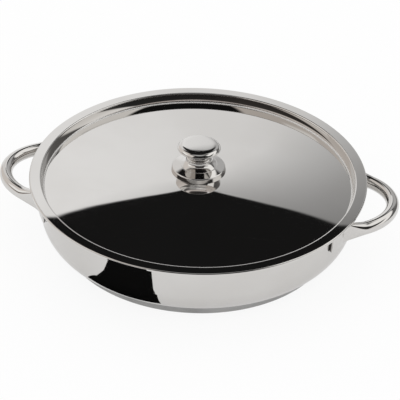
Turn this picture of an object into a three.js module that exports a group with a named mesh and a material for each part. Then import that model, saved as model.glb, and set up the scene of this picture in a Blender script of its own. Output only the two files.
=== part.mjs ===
// A round stainless pan, 28 cm across the mouth, with a flanged lid.
// The body is drawn from sheet, and stands on an encapsulated base: an aluminium core between the floor
// and a steel cap. Two loop handles of round tube are welded to the wall by their flattened ends. The lid
// has a flat flange, a shallow recess and an almost flat panel that carries a knob on a finger guard.
// Millimetres, +Z up. The origin is on the axis, on the surface that the pan stands on, handles along X.

import * as THREE from 'three';

// Fits
const SEAT_GAP = 0.3;           // between pieces that rest on each other or are welded together
const RING_STEPS = 48;          // facets round the large pieces
const KNOB_STEPS = 20;          // facets round the knob and its screw

// Pan body
const MOUTH_DIAMETER = 280;     // inside the straight wall, just under the lip
const PAN_SHEET = 0.8;
const RIM_HEIGHT = 61.8;        // top of the lip above the table
const WALL_DRAFT = 3.66;        // degrees that the wall leans out
const CORNER_RADIUS = 24.2;     // outside, between floor and wall
const LIP_RADIUS = 2.8;         // outside of the flared pouring lip
const LIP_TURN = 72;            // degrees that the lip turns out

// Base
const CAP_SHEET = 0.6;
const CORE_THICKNESS = 6.7;
const CAP_OVERHANG = 9.4;       // how far the cap reaches out past the flat floor, to its seam
const CAP_TAPER = 6.4;          // how far the flat face lies inside the seam
const CAP_EDGE_RADIUS = 3.4;    // rounding between the flat face and the side

// Loop handles
const TUBE_DIAMETER = 11.4;
const LOOP_REACH = 32;          // from the wall to the tube's centre at the tip
const LOOP_HALF_WIDTH = 43.7;   // half axis of the loop's ellipse along the wall
const LOOP_DEPTH = 49.3;        // half axis of the loop's ellipse away from the wall
const LOOP_RISE = 2.6;          // degrees that the loop rises to its tip
const LEG_GAP = 6.3;            // gap to the wall at which the tube is still round
const TAB_THICKNESS = 2.4;      // flattened end
const TAB_HEIGHT = 18.8;        // stamped wider than the tube
const TAB_BELOW_LIP = 0.2;      // from the start of the lip down to the tab's upper edge
const TAB_RUN = 11;             // along the wall, from the leg's root to where the tab lies flat
const TAB_FLAT = 18;            // length that lies on the wall
const TAB_CORNER = 3.6;         // rounding of the tab's end
const TAB_SQUARENESS = 5;       // exponent of the flattened section, 2 is an ellipse
const TUBE_SIDES = 12;

// Lid
const LID_OVERHANG = 8.8;       // flange beyond the pan's bore
const LID_SHEET = 0.7;
const LID_EDGE_RADIUS = 1.2;    // rolled outer edge
const LID_EDGE_SKIRT = 0.9;     // straight part below the rolled edge
const PLUG_CLEARANCE = 1.2;     // between the pan's bore and the lid's recess
const SHOULDER_RADIUS = 1.4;
const RECESS_DEPTH = 8.8;       // from the flange down to the crease
const RECESS_DRAFT = 10;        // degrees that its wall leans in
const CREASE_RADIUS = 2;
const PANEL_RISE = 0.9;         // slight crown of the panel above the crease

// Knob, heights from the lid's panel
const KNOB_SHEET = 0.8;
const FOOT_DIAMETER = 39.6;     // where the foot stands on the lid
const FOOT_TOP_DIAMETER = 32;
const GUARD_DIAMETER = 48.2;    // lower edge of the guard's rim
const GUARD_LIFT = 13.6;        // lower edge of the rim above the lid
const GUARD_RIM = 4.6;          // height of the rim
const GUARD_RIM_LEAN = 0.7;     // upper edge of the rim inside its lower edge
const GUARD_EDGE_RADIUS = 1.2;  // rounding between the rim and the flare
const STEM_BASE_DIAMETER = 32.6;
const STEM_NECK_DIAMETER = 20.8;
const STEM_TOP = 24.4;          // neck of the stem above the lid
const COLLAR_BEAD_DIAMETER = 21.6;
const COLLAR_GROOVE = 1.3;      // depth between the beads
const COLLAR_HEIGHT = 6.2;
const HEAD_DIAMETER = 37.8;
const HEAD_NECK_DIAMETER = 19;
const HEAD_FLARE = 4.6;         // height of the underside, from neck to rim
const HEAD_RIM = 1.4;           // thickness of the rim
const HEAD_CROWN = 2.4;         // top above the rim
const HEAD_FLATNESS = 10;       // exponent of the top, which is flat and falls off near the rim
const STUD_DIAMETER = 9;
const STUD_FLANGE_DIAMETER = 18;
const STUD_FLANGE = 1.6;
const SCREW_DIAMETER = 4.4;
const SCREW_CLEARANCE = 0.5;    // in the holes of lid and washer
const SCREW_REACH = 13;         // how far the screw goes up into the stud
const THREAD_SPARE = 3;         // thread in the stud above the screw's end
const SCREW_HEAD_DIAMETER = 9.6;
const SCREW_HEAD_EDGE = 1.2;
const SCREW_HEAD_DOME = 1.6;
const WASHER_DIAMETER = 14;
const WASHER_THICKNESS = 1;

const radians = THREE.MathUtils.degToRad;
const point = (r, z) => new THREE.Vector2(r, z);

// Finishes
const finish = (color, roughness) => new THREE.MeshStandardMaterial({ color, roughness, metalness: 1 });
const polished = () => finish(0xd6d4d2, 0.06);
const satin = () => finish(0xb9b8b6, 0.32);
const aluminium = () => finish(0xc2c4c6, 0.45);
const plain = () => finish(0xbdbcba, 0.25);

// Points of an arc in the profile plane, angles in degrees
function arc(centre, radius, from, to, steps) {
  const points = [];
  for (let i = 0; i <= steps; i += 1) {
    const angle = radians(from + ((to - from) * i) / steps);
    points.push(point(centre.x + radius * Math.cos(angle), centre.y + radius * Math.sin(angle)));
  }
  return points;
}

// Unit normals at the points of an open polyline, to the left of its direction, with the mitre's length
function mitres(line) {
  return line.map((here, i) => {
    const before = line[Math.max(i - 1, 0)];
    const after = line[Math.min(i + 1, line.length - 1)];
    const into = (i > 0 ? here.clone().sub(before) : after.clone().sub(here)).normalize();
    const out = (i < line.length - 1 ? after.clone().sub(here) : here.clone().sub(before)).normalize();
    const normal = point(-(into.y + out.y), into.x + out.x).normalize();
    return normal.divideScalar(Math.max(normal.dot(point(-into.y, into.x)), 0.5));
  });
}

// Line moved sideways by a distance, to the left of its direction. A point on the axis stays on it.
function offset(line, distance) {
  const normals = mitres(line);
  return line.map((p, i) => {
    const moved = p.clone().addScaledVector(normals[i], distance);
    return p.x === 0 ? moved.setX(0) : moved;
  });
}

// Closed outline of a sheet whose one face is the line, and whose thickness lies to the left of it
function sheet(line, thickness) {
  return [...line, ...offset(line, thickness).reverse()];
}

// Closed outline of an upright wall with level ends, whose outer face is the line
function uprightWall(line, thickness) {
  return [...line, ...line.map((p) => point(p.x - thickness, p.y)).reverse()];
}

function area(outline) {
  return outline.reduce((sum, p, i) => sum + p.cross(outline[(i + 1) % outline.length]), 0) / 2;
}

// Solid of revolution about Z of a closed outline, which may have an edge on the axis
function revolve(outline, steps) {
  const loop = area(outline) > 0 ? [...outline] : [...outline].reverse();
  const axisStart = loop.findIndex((p, i) => p.x === 0 && loop[(i + loop.length - 1) % loop.length].x === 0);
  const turned = axisStart < 0
    ? [...loop, loop[0].clone()]
    : [...loop.slice(axisStart), ...loop.slice(0, axisStart)];
  return new THREE.LatheGeometry(turned, steps).rotateX(Math.PI / 2);
}

function piece(name, geometry, material) {
  const mesh = new THREE.Mesh(geometry, material);
  mesh.name = name;
  return mesh;
}

// Shared heights and radii
const floorUnderside = CAP_SHEET + SEAT_GAP + CORE_THICKNESS + SEAT_GAP;
const mouthRadius = MOUTH_DIAMETER / 2;
const wallSlope = Math.tan(radians(WALL_DRAFT));
const lipStart = RIM_HEIGHT - (LIP_RADIUS + PAN_SHEET) * Math.sin(radians(LIP_TURN));
const wallOutside = (z) => mouthRadius + PAN_SHEET - (lipStart - z) * wallSlope;
const cornerCentre = point(
  wallOutside(floorUnderside + CORNER_RADIUS) - CORNER_RADIUS / Math.cos(radians(WALL_DRAFT)),
  floorUnderside + CORNER_RADIUS,
);
const handleHeight = lipStart - TAB_BELOW_LIP - TAB_HEIGHT / 2;
const flangeTop = RIM_HEIGHT + SEAT_GAP + LID_SHEET;
const screwHole = SCREW_DIAMETER / 2 + SCREW_CLEARANCE;
const footRadius = FOOT_DIAMETER / 2;

// Outside of the body from the axis to the edge of the lip
function bodyOutside() {
  const corner = arc(cornerCentre, CORNER_RADIUS, -90, -WALL_DRAFT, 7);
  const lipCentre = point(wallOutside(lipStart) + LIP_RADIUS, lipStart);
  const lip = arc(lipCentre, LIP_RADIUS, 180 - WALL_DRAFT, 180 - LIP_TURN, 3);
  return [point(0, floorUnderside), ...corner, ...lip];
}

// Drawn body: floor, rounded corner, straight wall that leans out, flared lip
function panBody() {
  return piece('pan_body', revolve(sheet(bodyOutside(), PAN_SHEET), RING_STEPS), polished());
}

// Outside of the cap from the axis to its seam: flat face, rounded edge, side that leans out to the seam
function capOutside() {
  const seamRise = Math.sqrt(CORNER_RADIUS ** 2 - CAP_OVERHANG ** 2);
  const seam = point(cornerCentre.x + CAP_OVERHANG, cornerCentre.y - seamRise);
  const edgeCentre = point(seam.x - CAP_TAPER, CAP_EDGE_RADIUS);
  const reach = seam.clone().sub(edgeCentre);
  const lean = reach.angle() - Math.acos(CAP_EDGE_RADIUS / reach.length());
  return [point(0, 0), ...arc(edgeCentre, CAP_EDGE_RADIUS, -90, THREE.MathUtils.radToDeg(lean), 4), seam];
}

// Where a line towards the body meets the seat gap below its rounded corner
function meetCorner(from, towards) {
  const along = towards.clone().sub(from).normalize();
  const back = from.clone().sub(cornerCentre);
  const nearest = -back.dot(along);
  const reach = CORNER_RADIUS + SEAT_GAP;
  const halfChord = Math.sqrt(nearest ** 2 - back.lengthSq() + reach ** 2);
  return from.clone().addScaledVector(along, nearest - halfChord);
}

// A line whose last stretch is cut back to the seat gap below the corner
function cutAtCorner(line) {
  const [before, last] = line.slice(-2);
  return [...line.slice(0, -1), meetCorner(before, last)];
}

// Steel cap under the base, turned up to the seam
function baseCap() {
  const outside = capOutside();
  const inside = cutAtCorner(offset(outside, CAP_SHEET));
  const outline = [...cutAtCorner(outside), ...inside.reverse()];
  return piece('base_cap', revolve(outline, RING_STEPS), satin());
}

// Aluminium core, which fills the space between the cap and the body
function baseCore() {
  const underside = cutAtCorner(offset(capOutside(), CAP_SHEET + SEAT_GAP));
  const edge = underside[underside.length - 1].clone().sub(cornerCentre);
  const edgeAngle = THREE.MathUtils.radToDeg(Math.atan2(edge.y, edge.x));
  const corner = arc(cornerCentre, CORNER_RADIUS + SEAT_GAP, edgeAngle, -90, 3);
  const outline = [...underside, ...corner.slice(1), point(0, floorUnderside - SEAT_GAP)];
  return piece('base_core', revolve(outline, RING_STEPS), aluminium());
}

// Plan of one half of a handle, from the tab's end on the wall to the loop's tip.
// Each station has a place, how flat the tube is there, and its distance from the tab's end.
function handleStations() {
  const wall = wallOutside(handleHeight);
  const tip = wall + LOOP_REACH;
  const loopCentre = tip - LOOP_DEPTH;
  const loopAt = (x) => Math.acos((x - loopCentre) / LOOP_DEPTH);
  const loopPoint = (t) => point(loopCentre + LOOP_DEPTH * Math.cos(t), LOOP_HALF_WIDTH * Math.sin(t));
  const loopTangent = (t) => point(-LOOP_DEPTH * Math.sin(t), LOOP_HALF_WIDTH * Math.cos(t)).normalize();
  const tabRadius = wall + SEAT_GAP + TAB_THICKNESS / 2;
  const root = loopPoint(loopAt(wall));
  const tabEnd = Math.atan2(root.y, root.x) + (TAB_RUN + TAB_FLAT) / tabRadius;
  const tabPoint = (s) => {
    const angle = tabEnd - s / tabRadius;
    return point(tabRadius * Math.cos(angle), tabRadius * Math.sin(angle));
  };
  const stations = [];
  const tabSteps = [0, 0.12, 0.4, 1].map((share) => share * TAB_CORNER);
  [...tabSteps, (TAB_CORNER + TAB_FLAT) / 2].forEach((s) => {
    stations.push({ place: tabPoint(s), flat: 1, fromEnd: s });
  });
  const flatEnd = tabPoint(TAB_FLAT);
  const alongWall = tabPoint(TAB_FLAT + 1).sub(flatEnd).normalize();
  const legAngle = loopAt(wall + LEG_GAP + TUBE_DIAMETER / 2);
  const legStart = loopPoint(legAngle);
  const pull = flatEnd.distanceTo(legStart) / 3;
  const bend = new THREE.CubicBezierCurve(
    flatEnd,
    flatEnd.clone().addScaledVector(alongWall, pull),
    legStart.clone().addScaledVector(loopTangent(legAngle), pull),
    legStart,
  );
  const bendSteps = 8;
  for (let i = 0; i <= bendSteps; i += 1) {
    const flat = 1 - THREE.MathUtils.smoothstep(i / bendSteps, 0, 1);
    stations.push({ place: bend.getPoint(i / bendSteps), flat, fromEnd: TAB_FLAT });
  }
  const loopSteps = 9;
  for (let i = 1; i <= loopSteps; i += 1) {
    stations.push({ place: loopPoint(legAngle * (1 - i / loopSteps)), flat: 0, fromEnd: TAB_FLAT });
  }
  return stations;
}

// Section of the tube at a station: half thickness, half height and squareness
function tubeSection({ flat, fromEnd }) {
  const thin = THREE.MathUtils.lerp(TUBE_DIAMETER, TAB_THICKNESS, flat) / 2;
  const tall = THREE.MathUtils.lerp(TUBE_DIAMETER, TAB_HEIGHT, flat) / 2;
  const inCorner = 1 - Math.min(fromEnd / TAB_CORNER, 1);
  const cut = TAB_CORNER * (1 - Math.sqrt(1 - inCorner ** 2));
  return { thin, tall: tall - cut, squareness: THREE.MathUtils.lerp(2, TAB_SQUARENESS, flat) };
}

const power = (value, exponent) => Math.sign(value) * Math.abs(value) ** exponent;

// Handle along +X: the half plan and its mirror image, with a section at every station
function handleGeometry() {
  const half = handleStations();
  const mirrored = half.slice(0, -1).reverse().map((station) => ({
    ...station,
    place: point(station.place.x, -station.place.y),
  }));
  const stations = [...half, ...mirrored];
  const wall = wallOutside(handleHeight);
  const vertices = [];
  const faces = [];
  const centres = stations.map(({ place }) => {
    const rise = Math.max(place.x - wall, 0) * Math.tan(radians(LOOP_RISE));
    return new THREE.Vector3(place.x, place.y, handleHeight + rise);
  });
  stations.forEach((station, i) => {
    const next = centres[Math.min(i + 1, centres.length - 1)];
    const along = next.clone().sub(centres[Math.max(i - 1, 0)]).normalize();
    const outward = new THREE.Vector3(station.place.x, station.place.y, 0).normalize();
    const up = new THREE.Vector3(0, 0, 1).addScaledVector(outward, wallSlope * station.flat);
    up.addScaledVector(along, -up.dot(along)).normalize();
    const side = along.clone().cross(up);
    const { thin, tall, squareness } = tubeSection(station);
    for (let k = 0; k < TUBE_SIDES; k += 1) {
      const angle = (2 * Math.PI * k) / TUBE_SIDES;
      const across = thin * power(Math.cos(angle), 2 / squareness);
      const height = tall * power(Math.sin(angle), 2 / squareness);
      const vertex = centres[i].clone().addScaledVector(side, across).addScaledVector(up, height);
      vertices.push(vertex.x, vertex.y, vertex.z);
    }
  });
  for (let i = 0; i + 1 < stations.length; i += 1) {
    for (let k = 0; k < TUBE_SIDES; k += 1) {
      const a = i * TUBE_SIDES + k;
      const b = i * TUBE_SIDES + ((k + 1) % TUBE_SIDES);
      faces.push(a, a + TUBE_SIDES, b, b, a + TUBE_SIDES, b + TUBE_SIDES);
    }
  }
  const lastRing = (stations.length - 1) * TUBE_SIDES;
  for (let k = 1; k + 1 < TUBE_SIDES; k += 1) {
    faces.push(0, k, k + 1, lastRing, lastRing + k + 1, lastRing + k);
  }
  const geometry = new THREE.BufferGeometry();
  geometry.setAttribute('position', new THREE.Float32BufferAttribute(vertices, 3));
  geometry.setIndex(faces);
  geometry.computeVertexNormals();
  return geometry;
}

function handle(name, turn) {
  const mesh = piece(name, handleGeometry(), polished());
  mesh.rotation.z = turn;
  return mesh;
}

// Upper face of the lid from the edge of its skirt to the screw hole, height from the flange.
// The last two points are where the knob's foot stands and the hole.
function lidTop() {
  const edge = mouthRadius + LID_OVERHANG;
  const recess = mouthRadius - PLUG_CLEARANCE - LID_SHEET;
  const skirt = point(edge, -LID_EDGE_RADIUS - LID_EDGE_SKIRT);
  const roll = arc(point(edge - LID_EDGE_RADIUS, -LID_EDGE_RADIUS), LID_EDGE_RADIUS, 0, 90, 3);
  const shoulderCentre = point(recess + SHOULDER_RADIUS, -SHOULDER_RADIUS);
  const shoulder = arc(shoulderCentre, SHOULDER_RADIUS, 90, 180 - RECESS_DRAFT, 3);
  const wallTop = shoulder[shoulder.length - 1];
  const draft = radians(RECESS_DRAFT);
  const creaseStart = CREASE_RADIUS * (1 - Math.sin(draft)) - RECESS_DEPTH;
  const wallFoot = point(wallTop.x - (wallTop.y - creaseStart) * Math.tan(draft), creaseStart);
  const creaseCentre = point(
    wallFoot.x - CREASE_RADIUS * Math.cos(draft),
    CREASE_RADIUS - RECESS_DEPTH,
  );
  const crease = arc(creaseCentre, CREASE_RADIUS, -RECESS_DRAFT, -90, 4);
  const panelEdge = crease[crease.length - 1];
  const panelSteps = 6;
  const panelRadii = [];
  for (let i = 1; i <= panelSteps; i += 1) {
    panelRadii.push(THREE.MathUtils.lerp(panelEdge.x, footRadius, i / panelSteps));
  }
  panelRadii.push(screwHole);
  const panel = panelRadii.map((r) => {
    const crown = (1 + Math.cos((Math.PI * r) / panelEdge.x)) / 2;
    return point(r, panelEdge.y + PANEL_RISE * crown);
  });
  return [skirt, ...roll, ...shoulder, ...crease, ...panel];
}

const lidUpperFace = lidTop();
const panelUnderFoot = lidUpperFace[lidUpperFace.length - 2].y;
const panelCrown = lidUpperFace[lidUpperFace.length - 1].y;

function lid() {
  return piece('lid', revolve(sheet(lidUpperFace, LID_SHEET), RING_STEPS), polished());
}

const collarBase = STEM_TOP + SEAT_GAP;
const headBase = collarBase + COLLAR_HEIGHT + SEAT_GAP;
const headRimTop = headBase + HEAD_FLARE + HEAD_RIM;
const headCeiling = headRimTop - KNOB_SHEET;
const studHole = STUD_DIAMETER / 2 + SEAT_GAP;

// Rim of the guard: rounding at its upper edge, which ends where the flare begins
const guardEdge = arc(
  point(GUARD_DIAMETER / 2 - GUARD_RIM_LEAN - GUARD_EDGE_RADIUS, GUARD_LIFT + GUARD_RIM - GUARD_EDGE_RADIUS),
  GUARD_EDGE_RADIUS,
  10,
  75,
  3,
);
const flareStart = guardEdge[guardEdge.length - 1];

// Concave flare that guard and stem share, from the guard's rim at 0 to the neck at 1
function flare(share) {
  const r = THREE.MathUtils.lerp(STEM_NECK_DIAMETER / 2, flareStart.x, (1 - share) ** 2);
  return point(r, THREE.MathUtils.lerp(flareStart.y, STEM_TOP, share));
}

function flareBetween(from, to, steps) {
  const line = [];
  for (let i = 0; i <= steps; i += 1) {
    line.push(flare(THREE.MathUtils.lerp(from, to, i / steps)));
  }
  return line;
}

const neckRadius = STEM_NECK_DIAMETER / 2;
const stemShare = 1 - Math.sqrt((STEM_BASE_DIAMETER / 2 - neckRadius) / (flareStart.x - neckRadius));
const guardTop = flare(stemShare).y;
const stemBase = guardTop + SEAT_GAP;

// Flared foot that stands on the lid and carries the guard
function knobFoot() {
  const steps = 5;
  const seat = SEAT_GAP + panelUnderFoot - panelCrown;
  const top = guardTop - KNOB_SHEET - SEAT_GAP;
  const outside = [];
  for (let i = 0; i <= steps; i += 1) {
    const share = i / steps;
    const r = THREE.MathUtils.lerp(FOOT_TOP_DIAMETER / 2, footRadius, (1 - share) ** 2);
    outside.push(point(r, THREE.MathUtils.lerp(seat, top, share)));
  }
  return piece('knob_foot', revolve(uprightWall(outside, KNOB_SHEET), KNOB_STEPS), polished());
}

// Finger guard: upright rim, flare up to the stem, and a plate under the stem
function knobGuard() {
  const upperFace = [
    point(GUARD_DIAMETER / 2, GUARD_LIFT),
    ...guardEdge,
    ...flareBetween(0, stemShare, 3).slice(1),
    point(studHole, guardTop),
  ];
  return piece('knob_guard', revolve(sheet(upperFace, KNOB_SHEET), KNOB_STEPS), polished());
}

// Hollow stem that goes on with the flare to a closed neck, through which the stud passes
function knobStem() {
  const startShare = (stemBase - flareStart.y) / (STEM_TOP - flareStart.y);
  const outside = flareBetween(startShare, 1, 5);
  const ceiling = STEM_TOP - KNOB_SHEET;
  const inside = offset(outside, KNOB_SHEET).map(
    (p) => point(p.x, THREE.MathUtils.clamp(p.y, stemBase, ceiling)),
  );
  const neckPlate = [point(studHole, STEM_TOP), point(studHole, ceiling)];
  const outline = [...outside, ...neckPlate, ...inside.reverse()];
  return piece('knob_stem', revolve(outline, KNOB_STEPS), polished());
}

// Collar of two beads with a groove between them
function knobCollar() {
  const bead = COLLAR_HEIGHT / 4;
  const beadCentre = COLLAR_BEAD_DIAMETER / 2 - bead;
  const groove = point(COLLAR_BEAD_DIAMETER / 2 - COLLAR_GROOVE, collarBase + 2 * bead);
  const outline = [
    point(studHole, collarBase),
    ...arc(point(beadCentre, collarBase + bead), bead, -90, 60, 4),
    groove,
    ...arc(point(beadCentre, collarBase + 3 * bead), bead, -60, 90, 4),
    point(studHole, collarBase + COLLAR_HEIGHT),
  ];
  return piece('knob_collar', revolve(outline, KNOB_STEPS), polished());
}

// Hollow head: underside that flares from the neck, rounded rim, flat top that falls off to the rim
function knobHead() {
  const rimCentre = point((HEAD_DIAMETER - HEAD_RIM) / 2, headRimTop - HEAD_RIM / 2);
  const crown = [];
  const steps = 7;
  for (let i = 1; i <= steps; i += 1) {
    const share = i === steps ? 0 : Math.cos((Math.PI / 2) * (i / steps));
    crown.push(point(rimCentre.x * share, headRimTop + HEAD_CROWN * (1 - share ** HEAD_FLATNESS)));
  }
  const neck = HEAD_NECK_DIAMETER / 2;
  const outside = [point(neck, headBase), ...arc(rimCentre, HEAD_RIM / 2, -50, 90, 4), ...crown];
  const inside = [
    point(0, headCeiling),
    point(rimCentre.x - HEAD_RIM, headCeiling),
    point(neck - KNOB_SHEET, headBase),
  ];
  return piece('knob_head', revolve([...outside, ...inside], KNOB_STEPS), polished());
}

// Threaded stud, welded inside the head by its flange and standing on the lid
function knobStud() {
  const top = headCeiling - SEAT_GAP;
  const threadTop = SCREW_REACH + THREAD_SPARE;
  const bore = SCREW_DIAMETER / 2 + SEAT_GAP;
  const outline = [
    point(bore, SEAT_GAP),
    point(STUD_DIAMETER / 2, SEAT_GAP),
    point(STUD_DIAMETER / 2, top - STUD_FLANGE),
    point(STUD_FLANGE_DIAMETER / 2, top - STUD_FLANGE),
    point(STUD_FLANGE_DIAMETER / 2, top),
    point(0, top),
    point(0, threadTop),
    point(bore, threadTop),
  ];
  return piece('knob_stud', revolve(outline, KNOB_STEPS), plain());
}

const washerTop = -LID_SHEET - SEAT_GAP;
const screwSeat = washerTop - WASHER_THICKNESS - SEAT_GAP;

function knobWasher() {
  const outline = [
    point(screwHole, washerTop - WASHER_THICKNESS),
    point(WASHER_DIAMETER / 2, washerTop - WASHER_THICKNESS),
    point(WASHER_DIAMETER / 2, washerTop),
    point(screwHole, washerTop),
  ];
  return piece('knob_washer', revolve(outline, KNOB_STEPS), plain());
}

// Screw with a domed head under the lid
function knobScrew() {
  const head = SCREW_HEAD_DIAMETER / 2;
  const shank = SCREW_DIAMETER / 2;
  const domeSteps = 4;
  const dome = [];
  for (let i = 0; i <= domeSteps; i += 1) {
    const r = (head * i) / domeSteps;
    dome.push(point(r, screwSeat - SCREW_HEAD_EDGE - SCREW_HEAD_DOME * (1 - (r / head) ** 2)));
  }
  const outline = [
    ...dome,
    point(head, screwSeat),
    point(shank, screwSeat),
    point(shank, SCREW_REACH),
    point(0, SCREW_REACH),
  ];
  return piece('knob_screw', revolve(outline, KNOB_STEPS), plain());
}

const knob = new THREE.Group();
knob.position.z = panelCrown;
knob.add(
  knobFoot(),
  knobGuard(),
  knobStem(),
  knobCollar(),
  knobHead(),
  knobStud(),
  knobWasher(),
  knobScrew(),
);

const lidAssembly = new THREE.Group();
lidAssembly.position.z = flangeTop;
lidAssembly.add(lid(), knob);

const pan = new THREE.Group();
pan.add(
  panBody(),
  baseCore(),
  baseCap(),
  handle('right_handle', 0),
  handle('left_handle', Math.PI),
  lidAssembly,
);

export default pan;
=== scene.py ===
"""The finished look of a round steel pan with a flanged lid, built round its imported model."""

import math

import bmesh
import bpy
from mathutils import Matrix, Vector


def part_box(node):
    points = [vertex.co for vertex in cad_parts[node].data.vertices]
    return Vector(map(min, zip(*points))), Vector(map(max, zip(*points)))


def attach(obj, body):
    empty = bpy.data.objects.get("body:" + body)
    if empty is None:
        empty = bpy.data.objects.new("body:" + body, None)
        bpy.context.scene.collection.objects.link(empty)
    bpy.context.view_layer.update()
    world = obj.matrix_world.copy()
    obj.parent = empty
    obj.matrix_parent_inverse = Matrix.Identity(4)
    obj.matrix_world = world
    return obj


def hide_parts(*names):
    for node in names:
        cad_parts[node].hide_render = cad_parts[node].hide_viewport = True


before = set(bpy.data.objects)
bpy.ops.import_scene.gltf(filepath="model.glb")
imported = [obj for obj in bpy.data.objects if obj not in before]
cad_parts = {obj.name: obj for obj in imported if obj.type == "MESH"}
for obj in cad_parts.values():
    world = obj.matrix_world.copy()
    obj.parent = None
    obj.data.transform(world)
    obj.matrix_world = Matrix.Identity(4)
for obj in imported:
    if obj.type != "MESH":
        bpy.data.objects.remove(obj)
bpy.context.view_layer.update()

bl_info = {
    "name": "Round pan",
    "version": (1, 0, 0),
    "blender": (4, 5, 0),
    "location": "View3D > Sidebar > Round pan",
    "description": "Builds a polished steel pan with loop handles and a flanged lid",
    "category": "Add Mesh",
}

# How finely pieces are cut
RING_STEPS = 320
KNOB_STEPS = 144
TUBE_SIDES = 48
FLARE_STEPS = 24
GUARD_STEPS = 14
CROWN_STEPS = 48
DOME_STEPS = 14
PANEL_STEPS = 64
WALL_STEPS = 12
TAB_CORNER_STEPS = 9
TAB_FLAT_STEPS = 8
BEND_STEPS = 40
LOOP_STEPS = 44
ARC_STEP = math.radians(6)
FINE_ARC_STEP = math.radians(2.5)
EASED_STEP = math.radians(15)

# Lengths, angles and shares that keep the meshes clean
SUPPORT = 0.00006
LONG_STRETCH = 0.0011
CREASE_ANGLE = math.radians(38)
SLIGHT_BEND = math.radians(0.5)
HAIRLINE = 0.00004
SWEEP_RADIUS = 0.001
WELD = 1e-6
SLIVER = 1e-7
LEAST_MITRE = 0.5
EASED_SHARE = 0.45


def length(name, description, default):
    """A size in metres that a user can change."""
    return bpy.props.FloatProperty(
        name=name, description=description, default=default, min=0.0, precision=5,
        unit="LENGTH", subtype="DISTANCE",
    )


def turn(name, description, degrees):
    """An angle that a user can change."""
    return bpy.props.FloatProperty(
        name=name, description=description, default=math.radians(degrees), unit="ROTATION", subtype="ANGLE",
    )


def number(name, description, default, low, high):
    """A plain number that a user can change."""
    return bpy.props.FloatProperty(name=name, description=description, default=default, min=low, max=high)


def colour(name, description, default):
    """A colour that a user can change."""
    return bpy.props.FloatVectorProperty(
        name=name, description=description, default=default, size=3, min=0.0, max=1.0, subtype="COLOR",
    )


class RoundPanBody(bpy.types.PropertyGroup):
    """Sizes of the drawn body and of the base under it."""

    mouth: length("Mouth", "Diameter inside the wall, just under the lip", 0.280)
    sheet: length("Sheet", "Thickness of the body", 0.0008)
    rim: length("Rim", "Height of the rim above the table", 0.0618)
    draft: turn("Draft", "How far the wall leans out", 3.66)
    corner: length("Corner", "Outside radius between floor and wall", 0.0242)
    lip: length("Lip", "Outside radius of the flared lip", 0.0028)
    lip_turn: turn("Lip turn", "How far the lip turns out", 72)
    floor_under: length("Floor", "Underside of the floor above the table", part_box("pan_body")[0].z)
    cap_sheet: length("Cap sheet", "Thickness of the cap under the base", 0.0006)
    cap_overhang: length("Cap overhang", "Seam of the cap beyond the corner's centre", 0.0094)
    cap_taper: length("Cap taper", "Flat face of the cap inside the seam", 0.0064)
    cap_edge: length("Cap edge", "Radius of the cap's lower edge", 0.0034)
    seat: length("Seat gap", "Gap between pieces that touch", 0.0003)


class RoundPanHandles(bpy.types.PropertyGroup):
    """Sizes of the loop handles."""

    tube: length("Tube", "Diameter of the tube", 0.0114)
    reach: length("Reach", "From the wall to the middle of the loop's tip", 0.032)
    half_width: length("Half width", "Half the width of the loop's ellipse", 0.0437)
    depth: length("Depth", "Half the depth of the loop's ellipse", 0.0493)
    rise: turn("Rise", "How far the loop rises to its tip", 2.6)
    leg_gap: length("Leg gap", "Gap to the wall at which the tube is still round", 0.0063)
    tab_thickness: length("Tab thickness", "Thickness of the flattened end", 0.0024)
    tab_height: length("Tab height", "Height of the flattened end", 0.0188)
    tab_below_lip: length("Tab below lip", "From the start of the lip to the tab's upper edge", 0.0002)
    tab_run: length("Tab run", "Along the wall, from the leg's root to the flat of the tab", 0.011)
    tab_flat: length("Tab flat", "Length of the tab that lies on the wall", 0.018)
    tab_corner: length("Tab corner", "Rounding of the tab's end", 0.0036)
    tab_square: number("Tab squareness", "Exponent of the tab's section", 5.0, 2.0, 12.0)


class RoundPanLid(bpy.types.PropertyGroup):
    """Sizes of the drawn lid."""

    radius: length("Radius", "Outer radius of the flange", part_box("lid")[1].x)
    flange: length("Flange height", "Upper face of the flange above the table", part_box("lid")[1].z)
    sheet: length("Sheet", "Thickness of the lid", 0.0007)
    edge: length("Edge", "Radius of the rolled edge", 0.0012)
    skirt: length("Skirt", "Straight edge below the roll", 0.0009)
    recess: length("Recess", "Radius of the recess at the flange", 0.1381)
    shoulder: length("Shoulder", "Radius between flange and recess", 0.0014)
    recess_depth: length("Recess depth", "From the flange down to the crease", 0.0088)
    recess_draft: turn("Recess draft", "How far the recess leans in", 10)
    wall_hollow: turn("Wall hollow", "How much steeper the recess is at its top than halfway", 6)
    crease: length("Crease", "Radius between recess and panel", 0.002)
    panel_rise: length("Panel rise", "Slight crown of the panel", 0.0009)
    panel_round: number("Panel round", "Part of the crown that is rounded", 0.55, 0.0, 1.0)
    panel_cone: number("Panel cone", "Part of the crown that rises to a point", 0.585, 0.0, 1.0)
    hole: length("Hole", "Radius of the hole for the screw", 0.0027)


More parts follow.
